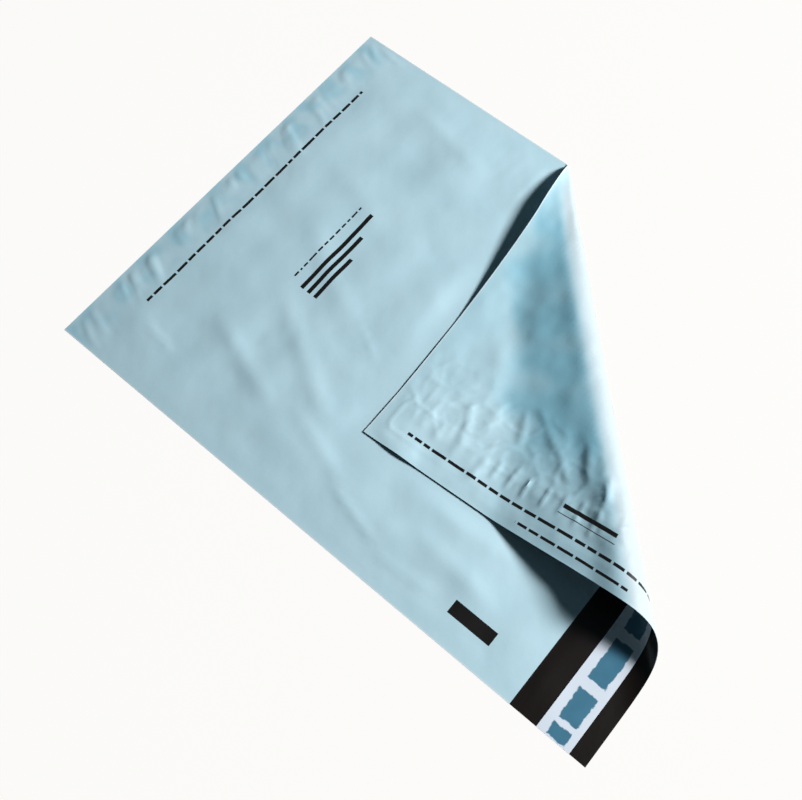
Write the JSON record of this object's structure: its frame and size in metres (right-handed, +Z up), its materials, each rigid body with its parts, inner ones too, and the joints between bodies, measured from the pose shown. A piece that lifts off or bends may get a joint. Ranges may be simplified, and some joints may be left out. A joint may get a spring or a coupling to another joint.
{
  "type": "poly mailer bag",
  "caption": "Flat courier mailing bag of blue-grey film with a black inside, a self-seal lip under a peel-off liner, and one corner of its mouth rolled over.",
  "frame": {"origin": "the surface that the bag lies on, at the middle of its flat rectangle", "axes": "+X across the bag towards the long edge that the corner is rolled from, +Y along it towards the closed bottom, +Z up from the surface, with the front panel up"},
  "size_m": [0.25, 0.3404, 0.0248],
  "materials": {
    "film": "satin co-extruded polythene, blue-grey outside and black inside",
    "glue": "smooth hot-melt adhesive",
    "liner": "siliconed film with pale blue blocks"
  },
  "bodies": {
    "root": {"film_bag": "film", "adhesive_strip": "glue", "release_liner": "liner"}
  },
  "joints": []
}
